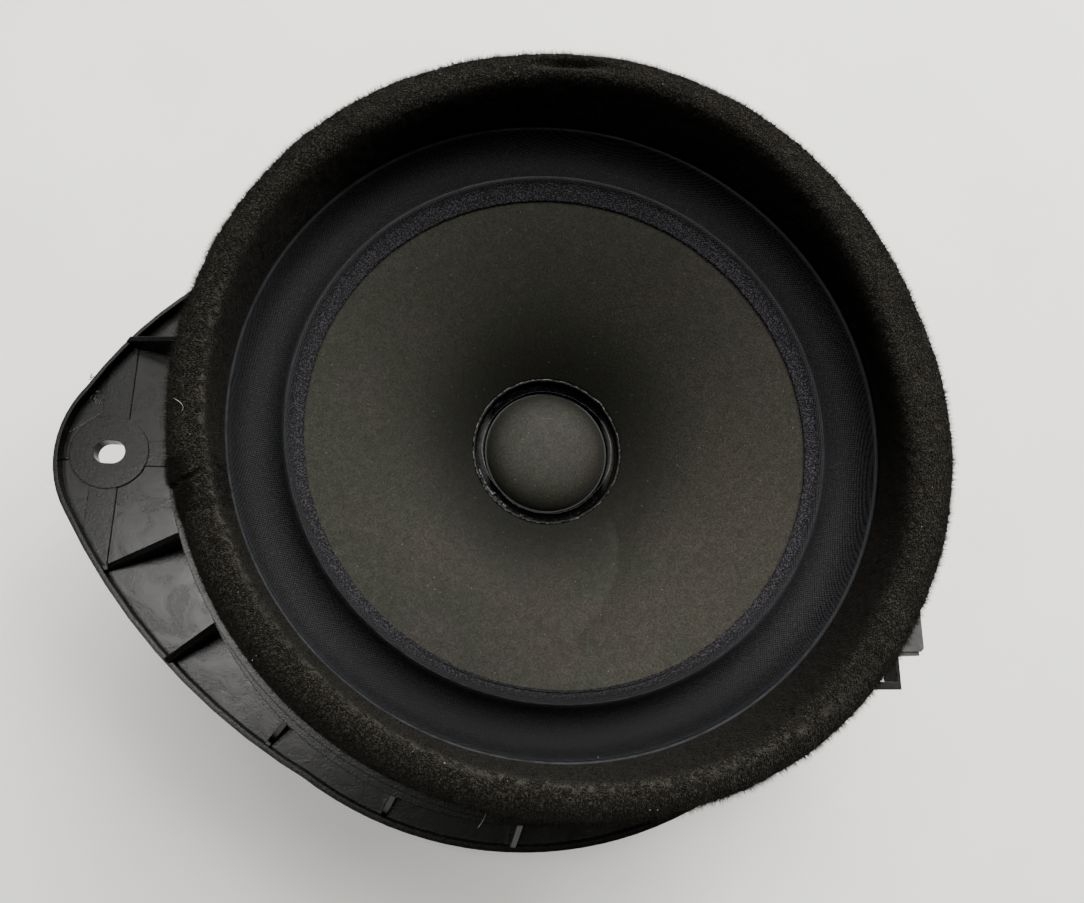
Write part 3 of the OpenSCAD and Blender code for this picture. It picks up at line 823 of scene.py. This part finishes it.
def spider_path():
    """Glued collar at the coil, five rolls and a flat glued rim."""
    mid = SPIDER_HIGH.z - 1.35
    rolls = np.linspace(0, 1, 121)
    start = [(15.65, mid - 1.6), (15.95, mid - 0.5), (16.85, mid)]
    wave = np.stack([20 + 23 * rolls, mid + 1.1 * np.sin(TURN * 5 * rolls)], axis=-1)
    return np.concatenate([start, wave, [(43.8, mid), (49.4, mid)]])


def spider_piece():
    path = even(rounded(spider_path(), 1, False), 0.55, False)
    section = cloth_section(path, 0.5, 1)
    points = turned(section, np.arange(360) * 1.0)
    points[..., 2] += 0.06 * noise_at(points, 4.0, 8)
    piece = ring_object("spider_cloth_disc", points)
    return flex(piece), path


def lead_route(side, count=64):
    """From the glue dot on the cone's back to the end of its connector blade."""
    dot_r = 21.5
    slope = math.atan2(cone_z(dot_r + 0.1) - cone_z(dot_r - 0.1), 0.2)
    a = math.radians(-33 + 9 * side)
    out = np.array([math.sin(slope) * math.cos(a), math.sin(slope) * math.sin(a), -math.cos(slope)])
    dot = np.array([dot_r * math.cos(a), dot_r * math.sin(a), cone_z(dot_r) - 0.8]) + 1.18 * out
    blade_low, blade_high = box_mm("connector_blades")
    y = blade_high.y - 1.65 if side > 0 else blade_low.y + 1.65
    tip = np.array([blade_low.x - 0.02, y, (blade_low.z + blade_high.z) / 2])
    held = [dot, dot + 6 * out, tip - np.array([14, 0, 2.5]), tip]
    t = np.linspace(0, 1, count)[:, None]
    return ((1 - t) ** 3 * held[0] + 3 * t * (1 - t) ** 2 * held[1]
            + 3 * t * t * (1 - t) * held[2] + t ** 3 * held[3])


def lead_piece(name, side):
    """Three strands laid round each other, drawn together at both ends."""
    route = lead_route(side)
    count = len(route)
    along = np.gradient(route, axis=0)
    along /= np.linalg.norm(along, axis=1, keepdims=True)
    sideways = np.cross(along, [0, 0, 1])
    sideways /= np.linalg.norm(sideways, axis=1, keepdims=True)
    upward = np.cross(sideways, along)
    run = np.linalg.norm(route[-1] - route[0])
    t = np.linspace(0, 1, count)
    spread = 0.4 * smooth(np.minimum(t, 1 - t) * 12) + 0.12
    parts = []
    for strand in range(3):
        a = (TURN * (t * run / 5.2 + strand / 3))[:, None]
        line = route + spread[:, None] * (sideways * np.cos(a) + upward * np.sin(a))
        parts.append(tube(line, 0.39, 7))
    piece = joined(name, parts)
    return flex(facing_out(piece))


# ---- Cone, dust cap and neck ----

def fold_height(points):
    """A shallow fold in the paper on the lower right: a sharp crease in a soft hollow."""
    x, y = points[..., 0], points[..., 1]
    turn = np.degrees(np.arctan2(y, x)) % 360
    r = np.hypot(x, y)
    line = 305 - 1.55 * (r - 27) + 1.2 * np.sin((r - 24) / 5)
    across = (turn - line) * np.radians(1) * r
    along = smooth((r - 22) / 5) * smooth((52 - r) / 8)
    crease = 0.85 * np.exp(-np.abs(across) / 2.6) + 0.35 * np.exp(-((across - 1) / 7) ** 2)
    return -crease * along


def cone_piece():
    steps = np.linspace(0, 1, 70)
    front_r = NECK_R + (CONE_R - NECK_R) * steps
    front = np.stack([front_r, cone_z(front_r)], axis=-1)
    back_r = NECK_R + 0.8 + (CONE_R - NECK_R - 0.8) * np.linspace(1, 0, 30)
    back = np.stack([back_r, cone_z(back_r) - 0.8], axis=-1)
    foot = [(15.35, NECK_Z - 4.2), (15.35, NECK_Z - 3.3), (NECK_R - 0.5, NECK_Z - 2.6),
            (NECK_R, NECK_Z - 2)]
    heel = [(NECK_R + 0.7, NECK_Z - 2.6), (NECK_R - 0.1, NECK_Z - 3.5)]
    section = np.concatenate([foot, front, back, heel])
    points = turned(section, np.arange(620) * 360 / 620)
    free = smooth((section[None, :, 0] - 19.5) / 4) * smooth((55.5 - section[None, :, 0]) / 4)
    points[..., 2] += (0.05 * noise_at(points * [1, 1, 0], 12.0, 21) + fold_height(points)) * free
    return ring_object("cone_paper", points)


def cap_piece():
    """Pressed dome with a short skirt, slightly uneven like the cone's paper."""
    base, skirt = CAP_LOW.z, 1.2
    radius = CAP_HIGH.x - 0.3
    rise = CAP_HIGH.z - base - skirt - 0.3
    a = np.radians(np.linspace(86, 0, 30))
    top = np.stack([radius * np.cos(a) ** 0.8, base + skirt + rise * np.sin(a)], axis=-1)
    path = np.concatenate([top, [(radius, base + 0.6), (radius, base)]])
    over, under = offset(path, 0.3), offset(path, -0.3)[::-1]
    section = np.concatenate([over, under])
    points = turned(section, np.arange(180) * 2.0)
    points[..., 2] += 0.05 * noise_at(points * [1, 1, 0], 5.0, 31)
    middle = base + skirt + rise
    return dome_object("dust_cap_paper", points, (0, 0, middle + 0.3), (0, 0, middle - 0.3))


def collar_piece():
    """Thin upright edge of the neck, cut unevenly, with one lifted kink."""
    low, high = COLLAR_LOW.z, COLLAR_HIGH.z
    inner, outer = COLLAR_HIGH.x - 0.62, COLLAR_HIGH.x
    corners = [(inner, low), (outer, low), (outer, high - 0.15), (outer - 0.12, high),
               (inner + 0.12, high), (inner, high - 0.15)]
    section = even(rounded(corners, 1, True), 0.14, True)
    angles = np.arange(720) * 0.5
    points = turned(section, angles)
    top = smooth((section[None, :, 1] - (high - 0.9)) / 0.8)
    ragged = 0.16 * noise_at(points, 0.75, 41) + 0.1 * noise_at(points, 2.4, 42)
    kink = bump_at(angles, 43, 7)[:, None]
    points[..., 2] += top * (ragged + 0.35 * kink)
    a = np.radians(angles)[:, None]
    shift = top * (0.1 * noise_at(points, 1.1, 43) + 0.3 * kink)
    points[..., 0] += np.cos(a) * shift
    points[..., 1] += np.sin(a) * shift
    return ring_object("neck_edge_ring", points)


def bead_piece():
    """Hand-laid glue between the dust cap and the neck; it spreads widest on the right and left."""
    angles = np.arange(540) * 360 / 540
    wide = (0.95 * bump_at(angles, 8, 62) + 0.5 * bump_at(angles, 178, 48)
            + 0.12 * bump_at(angles, 270, 60))
    wobble = 0.12 * noise_at(turned(np.array([[16.0, 0.0]]), angles)[:, 0], 4.0, 51)
    crest = 15.62 + wide + wobble
    low, high = BEAD_LOW.z, BEAD_HIGH.z
    inner, outer = 15.3, 17.75
    rows = [(inner, low), (outer, low + 0.75), (outer, low + 1.15),
            (crest + 0.55 * (outer - crest), low + 1.3), (crest + 0.22, high - 0.5),
            (crest, high), (crest - 0.14, high - 0.02),
            (inner + 0.3 * (crest - inner), high - 1.25), (inner, low + 0.7)]
    coarse = np.stack([np.stack(np.broadcast_arrays(*row, crest)[:2], axis=-1) for row in rows], axis=1)
    sections = np.stack([resampled(rounded(ring, 2, True), 34) for ring in coarse])
    points = turned(sections, angles)
    lump = 0.11 * noise_at(points, 1.3, 52) + 0.07 * noise_at(points, 0.5, 53)
    points[..., 2] += lump * smooth((points[..., 2] - low - 0.9) / 0.5)
    return ring_object("neck_glue_ring", points)


def resampled(path, count):
    """A closed path with a fixed number of even points."""
    closed = np.concatenate([path, path[:1]])
    along = np.concatenate([[0], np.cumsum(np.linalg.norm(np.diff(closed, axis=0), axis=1))])
    wanted = np.linspace(0, along[-1], count + 1)[:-1]
    return np.stack([np.interp(wanted, along, closed[:, k]) for k in (0, 1)], axis=-1)


# ---- Small things: squeezed-out glue, lint, residue ----

def motor_glue(name, radius, z, seed):
    """Glue squeezed out between the magnet and a steel part."""
    angles = np.arange(300) * 1.2
    a = np.arange(10) * TURN / 10
    size = 0.42 + 0.2 * noise_at(turned(np.array([[radius, 0.0]]), angles)[:, 0], 5.0, seed)[:, None]
    section = np.stack([radius + size * np.cos(a), z + 0.6 * size * np.sin(a)], axis=-1)
    return ring_object(name, turned(section, angles))


def flecks(name, spots, sizes, seed):
    """Tiny irregular grains of lint at the given points."""
    rng = np.random.default_rng(seed)
    axes = np.array([[1, 0, 0], [0, 1, 0], [-1, 0, 0], [0, -1, 0], [0, 0, 1], [0, 0, -1]])
    faces = [[0, 1, 4], [1, 2, 4], [2, 3, 4], [3, 0, 4], [1, 0, 5], [2, 1, 5], [3, 2, 5], [0, 3, 5]]
    parts = [(np.asarray(spot) + axes * size * rng.uniform(0.6, 1.3, (6, 1)), faces)
             for spot, size in zip(spots, sizes)]
    return joined(name, parts, flat=True)


def on_cone(r, degrees, lift=0.06):
    a = np.radians(degrees)
    return (r * math.cos(a), r * math.sin(a), cone_z(r) + lift)


def cone_flecks():
    rng = np.random.default_rng(61)
    spots = [on_cone(rng.uniform(21, 55), rng.uniform(0, 360)) for _ in range(46)]
    sizes = list(rng.uniform(0.05, 0.1, 46))
    spots.append(on_cone(54.3, 1.8))
    sizes.append(0.2)
    return flecks("cone_lint_flecks", spots, sizes, 62)


def frame_flecks():
    """Grains caught on the foam and on the surround's flange."""
    rng = np.random.default_rng(71)
    spots, sizes = [], []
    for _ in range(30):
        a, r = rng.uniform(0, TURN), rng.uniform(FOAM_R - 7, FOAM_R - 1.5)
        spots.append((FOAM_MID.x + r * math.cos(a), FOAM_MID.y + r * math.sin(a), FOAM_HIGH.z + 0.15))
        sizes.append(rng.uniform(0.07, 0.17))
    spots += [(70.8, -24.6, FOAM_HIGH.z + 0.2), (11.8, -78.0, FOAM_HIGH.z + 0.1),
              (5.8, -70.1, FRONT_Z - 1.2)]
    sizes += [0.16, 0.16, 0.14]
    return flecks("foam_lint_flecks", spots, sizes, 72)


def strands():
    """A curl of lint on the foam's left side and a hair below the rim."""
    t = np.linspace(0, 1, 24)
    curl_at = np.array([-76.6, -4.0, FOAM_HIGH.z + 0.35])
    curl = curl_at + np.stack([1.6 * np.sin(2.1 * t) * 1.3 - 1.2, -2.6 * t, 0.5 * np.sin(3 * t)], axis=-1)
    hair_at = np.array([-17.6, -77.6, FOAM_HIGH.z - 4.0])
    hair = hair_at + np.stack([-1.6 * t ** 2, -3.2 * t, 0.4 + 0.5 * t], axis=-1)
    thick = 0.04 * smooth(np.minimum(t, 1 - t) * 8 + 0.25)
    return joined("lint_strands", [tube(curl, thick * 1.4, 6), tube(hair, thick, 6)])


def residue():
    """Crusts of old glue on the ear, up and left of the screw boss."""
    rng = np.random.default_rng(81)
    parts = []
    for _ in range(15):
        start = np.array([-103.5 + 4 * rng.random(), 2.0 + 9 * rng.random(), POCKET_Z + 0.03])
        turn = rng.uniform(0, TURN)
        t = np.linspace(0, 1, 9)
        wiggle = rng.normal(0, 0.22, (9, 2))
        line = start + np.stack([1.5 * t * math.cos(turn) + wiggle[:, 0],
                                 1.5 * t * math.sin(turn) + wiggle[:, 1], 0.05 * np.sin(9 * t)], axis=-1)
        parts.append(tube(line, 0.13 * smooth(np.minimum(t, 1 - t) * 6 + 0.3), 5))
    edge_t = np.linspace(0, 1, 26)
    jag = 0.35 * np.abs(((edge_t * 9) % 1) - 0.5) * 2
    edge = np.stack([-106.3 + 7.0 * edge_t, -4.2 + 5.4 * edge_t + jag,
                     0 * edge_t + POCKET_Z + 0.04], axis=-1)
    parts.append(tube(edge, 0.12, 5))
    return joined("ear_residue", parts)


# ---- Stage ----

def camera():
    data = bpy.data.cameras.new("camera")
    data.sensor_width = 36
    data.lens = 900 / 1084 * 36
    data.clip_start = 0.01
    data.clip_end = 20
    view = bpy.data.objects.new("camera", data)
    bpy.context.scene.collection.objects.link(view)
    ahead = Vector((0.1454, 0.2459, -0.958)).normalized()
    right = Vector((0.9887, 0, 0.150)).normalized()
    up = right.cross(ahead)
    turn = Matrix((right, up, -ahead)).transposed().to_4x4()
    turn.translation = Vector((-0.0337, -0.0551, 0.2524))
    view.matrix_world = turn
    bpy.context.scene.camera = view


def floor():
    """A plain pale sheet, faintly cloudy, under the yoke."""
    n = 41
    line = np.linspace(-900, 900, n)
    x, y = np.meshgrid(line, line, indexing="ij")
    points = np.stack([x, y, 0 * x + YOKE_LOW.z - 0.3], axis=-1)
    faces = grid_faces(n, n, wrap_section=False).reshape(n, n - 1, 4)[:-1]
    ground = new_object("floor", points.reshape(-1, 3), faces.reshape(-1, 4).tolist())
    mat, tree, shader = material("pale_paper", Roughness=0.75, Specular_IOR_Level=0.3)
    place = place_mm(tree)
    cloud = ramp(tree, grains(tree, place, 60.0, 3), 0.3, 0.7)
    coat(tree, shader, blend_colours(tree, cloud, (0.78, 0.775, 0.755, 1), (0.82, 0.815, 0.795, 1)))
    relief(tree, shader, grains(tree, place, 1.2, 4), 0.03)
    dress(ground, mat)


LIGHT_AIM = Vector((0, 0, 0.04))
LIGHT_AWAY = 1.4
ROOM_COLOUR = (1.0, 0.99, 0.975, 1)


def softbox(name, azimuth, elevation, watts, size):
    """A rectangular lamp turned to face the speaker."""
    a, e = math.radians(azimuth), math.radians(elevation)
    away = Vector((math.cos(e) * math.cos(a), math.cos(e) * math.sin(a), math.sin(e)))
    data = bpy.data.lights.new(name, "AREA")
    data.shape = "RECTANGLE"
    data.size, data.size_y = size
    data.energy = watts
    data.color = (1.0, 0.985, 0.96)
    lamp = bpy.data.objects.new(name, data)
    bpy.context.scene.collection.objects.link(lamp)
    lamp.location = LIGHT_AIM + away * LIGHT_AWAY
    lamp.rotation_euler = (-away).to_track_quat("-Z", "Y").to_euler()


def lights():
    """Soft light, mostly from behind and the right, a small lamp overhead and a weak one at the left."""
    softbox("key", 44, 28, 22, (0.6, 0.6))
    softbox("back_low", 85, 30, 9, (0.6, 0.6))
    softbox("back_high", 67, 55, 17, (0.6, 0.6))
    softbox("back_left_high", 112, 55, 10, (0.6, 0.6))
    softbox("right_high", 22, 55, 7, (0.6, 0.6))
    softbox("overhead", 163, 78, 11.5, (0.28, 0.38))
    softbox("left_low", 170, 28, 1.5, (0.6, 0.6))


def backdrop():
    """A plain pale studio dome 4 m away; it glows for the camera and sends no light to the speaker."""
    rise = np.linspace(1.5, -1.5, 32)
    profile = 4000 * np.stack([np.cos(rise), np.sin(rise)], axis=-1)
    points = turned(profile, np.arange(32) * 360 / 32)
    dome = dome_object("backdrop", points, (0, 0, 4000), (0, 0, -4000))
    mat, tree, shader = material("pale_backdrop", Specular_IOR_Level=0.0, Emission_Strength=1.6)
    coat(tree, shader, (0, 0, 0, 1))
    shader.inputs["Emission Color"].default_value = ROOM_COLOUR
    mat.cycles.emission_sampling = "NONE"
    dome.visible_diffuse = False
    dome.visible_glossy = False
    dome.visible_transmission = False
    dome.visible_shadow = False
    dress(dome, mat)


def room():
    """The dim light that comes from all round."""
    world = bpy.data.worlds.new("soft_room")
    world.use_nodes = True
    shade = world.node_tree.nodes["Background"]
    shade.inputs[0].default_value = ROOM_COLOUR
    shade.inputs[1].default_value = 0.008
    bpy.context.scene.world = world


# ---- Assembly ----

def riding(piece, body, mat, node=None):
    dress(piece, mat)
    if body:
        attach(piece, body)
    if node:
        for name in ([node] if isinstance(node, str) else node):
            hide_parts(name)
    return piece


def build_soft():
    foam = foam_material()
    ring, points, out = foam_ring()
    riding(ring, FRAME, foam, "foam_gasket")
    for hairs in foam_fibres(points, out):
        riding(hairs, FRAME, foam)
    cloth, path = surround_piece()
    riding(cloth, None, surround_material(), "surround")
    disc, path = spider_piece()
    riding(disc, None, spider_material(), "spider")


def build_moving():
    paper = paper_material("cone_paper_olive", 0.1, 0.55)
    pressed = paper_material("cap_paper_olive", 0.13, 0.4)
    glue = glue_material()
    riding(cone_piece(), MOVING, paper, "cone")
    riding(cap_piece(), MOVING, pressed, "dust_cap")
    riding(collar_piece(), MOVING, collar_material(), "neck_collar")
    riding(bead_piece(), MOVING, glue, "neck_glue_bead")
    riding(cone_flecks(), MOVING, lint_material())
    dress_node("lead_glue_dots", glue)
    film = coil_material("former_film", grey(0.002), grey(0.006, 0.1), 2.5, 0.0)
    copper = coil_material("copper_turns", (0.3, 0.1, 0.03, 1), (0.75, 0.33, 0.15, 1), 0.3, 1.0)
    dress_node("voice_coil_former", film)
    dress_node("voice_coil_winding", copper)


def build_frame():
    plated = metal_material("steel_plated", (0.56, 0.57, 0.58), 0.3, 0.48, 0.5)
    brushed = metal_material("steel_yoke", (0.5, 0.51, 0.53), 0.28, 0.5, 0.8, depth=0.03)
    dress_node("basket", plastic_material())
    dress_node("yoke", brushed)
    dress_node("top_plate", brushed)
    dress_node("magnet", ferrite_material())
    dress_node("motor_screws", plated)
    dress_node("shorting_ring", metal_material("aluminium", (0.8, 0.81, 0.82), 0.25, 0.4, 0.6))
    dress_node("connector_housing", housing_material())
    dress_node("connector_blades", metal_material("tinned", (0.78, 0.76, 0.7), 0.2, 0.38, 0.6))
    glue = glue_material()
    under = motor_glue("glue_under_magnet", YOKE_HIGH.x + 0.1, MAGNET_LOW.z - 0.1, 91)
    over = motor_glue("glue_over_magnet", YOKE_HIGH.x + 0.6, MAGNET_HIGH.z + 0.15, 92)
    riding(under, FRAME, glue)
    riding(over, FRAME, glue)
    riding(residue(), FRAME, residue_material())
    lint = lint_material()
    riding(frame_flecks(), FRAME, lint)
    riding(strands(), FRAME, lint)


def build_leads():
    braid = braid_material()
    for name, side in (("lead_wire_positive", 1), ("lead_wire_negative", -1)):
        riding(lead_piece(name.replace("wire", "braid"), side), None, braid, name)


camera()
floor()
backdrop()
room()
lights()
build_soft()
build_moving()
build_frame()
build_leads()
